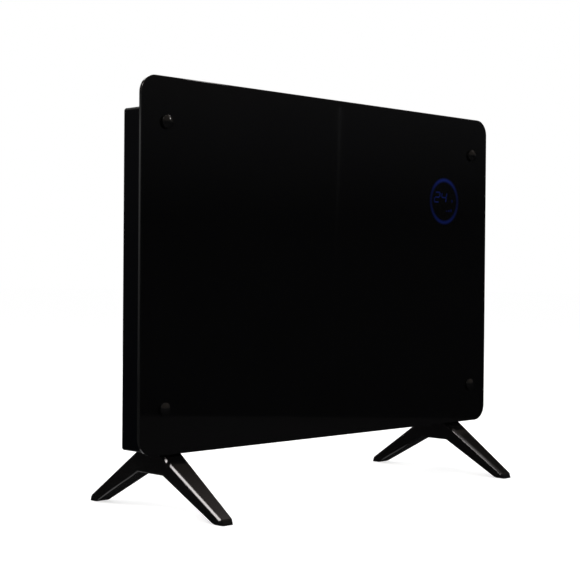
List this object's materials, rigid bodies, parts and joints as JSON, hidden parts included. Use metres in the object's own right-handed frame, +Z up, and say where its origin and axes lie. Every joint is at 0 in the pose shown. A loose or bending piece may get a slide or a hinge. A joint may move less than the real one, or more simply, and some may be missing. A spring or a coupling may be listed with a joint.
{
  "type": "panel convector heater",
  "caption": "Free-standing panel convector heater: black glass front on a slim steel casing with finned elements, touch display, mains rocker and splayed feet.",
  "frame": {"origin": "middle of the footprint on the floor", "axes": "+Z up, -Y out of the glass front, +X to the right of someone facing the glass"},
  "size_m": [0.64, 0.2404, 0.5015],
  "materials": {
    "black_glass": "toughened glass, black printed on its back",
    "cap_metal": "black gloss plated cap nut",
    "black_rubber": "moulded rubber",
    "zinc_steel": "zinc plated steel",
    "nylon": "natural nylon",
    "casing_paint": "black powder coat on steel sheet",
    "grille_paint": "black powder coat on steel sheet",
    "black_screw": "black oxide steel",
    "foot_plastic": "black gloss moulding",
    "fin_aluminium": "mill finish",
    "heater_steel": "heat-dulled steel",
    "ceramic": "unglazed steatite",
    "component_black": "moulded component",
    "component_blue": "moulded relay case",
    "component_yellow": "taped winding",
    "component_green": "moulded terminal strip",
    "circuit_board": "solder mask",
    "light_guide": "lit light guide",
    "brass_fitting": "turned brass",
    "lead_white": "heat-proof sleeving",
    "lead_brown": "insulated lead",
    "switch_plastic": "black switch moulding",
    "gland_plastic": "moulded gland"
  },
  "bodies": {
    "heater": {"bay_wall": "zinc_steel", "board_standoffs": "brass_fitting", "board_terminals": "component_green", "cap_washers": "black_rubber", "casing": "casing_paint", "cord_gland": "gland_plastic", "digit_block": "light_guide", "display_board": "circuit_board", "display_cable": "lead_white", "display_housing": "component_black", "display_plug": "nylon", "earth_stud": "brass_fitting", "element_bushes": "ceramic", "element_leads": "lead_white", "foot_nut_plates": "zinc_steel", "foot_pads": "black_rubber", "foot_screws": "black_screw", "front_glass": "black_glass", "gland_nut": "gland_plastic", "glass_bolts": "zinc_steel", "glass_caps": "cap_metal", "glass_nuts": "zinc_steel", "glass_spacers": "nylon", "heat_shield": "fin_aluminium", "inlet_grille": "grille_paint", "lead_grommet": "black_rubber", "left_bracket": "zinc_steel", "left_foot": "foot_plastic", "light_ring": "light_guide", "lower_fin_bar": "fin_aluminium", "lower_heater_tube": "heater_steel", "outlet_grille": "grille_paint", "overheat_thermostat": "component_black", "power_board": "circuit_board", "power_transformer": "component_yellow", "rear_cover": "casing_paint", "rear_cover_screws": "black_screw", "relays": "component_blue", "right_bracket": "zinc_steel", "right_foot": "foot_plastic", "rocker_bezel": "switch_plastic", "room_sensor": "component_black", "smoothing_capacitor": "component_black", "supply_leads": "lead_brown", "terminal_block": "ceramic", "thermal_fuse": "heater_steel", "tip_switch_frame": "component_black", "upper_fin_bar": "fin_aluminium", "upper_heater_tube": "heater_steel"},
    "rocker": {"power_rocker": "switch_plastic"},
    "pendulum": {"tip_pendulum": "zinc_steel"}
  },
  "joints": [
    {"name": "rocker_tilt", "type": "hinge", "parent": "heater", "child": "rocker", "pos_m": [0.235, 0.022, 0.112], "axis": [-1, 0, 0], "range_deg": [0, 20]},
    {"name": "pendulum_swing", "type": "hinge", "parent": "heater", "child": "pendulum", "pos_m": [0.1798, -0.002, 0.148], "axis": [1, 0, 0], "range_deg": [-30, 30]}
  ]
}
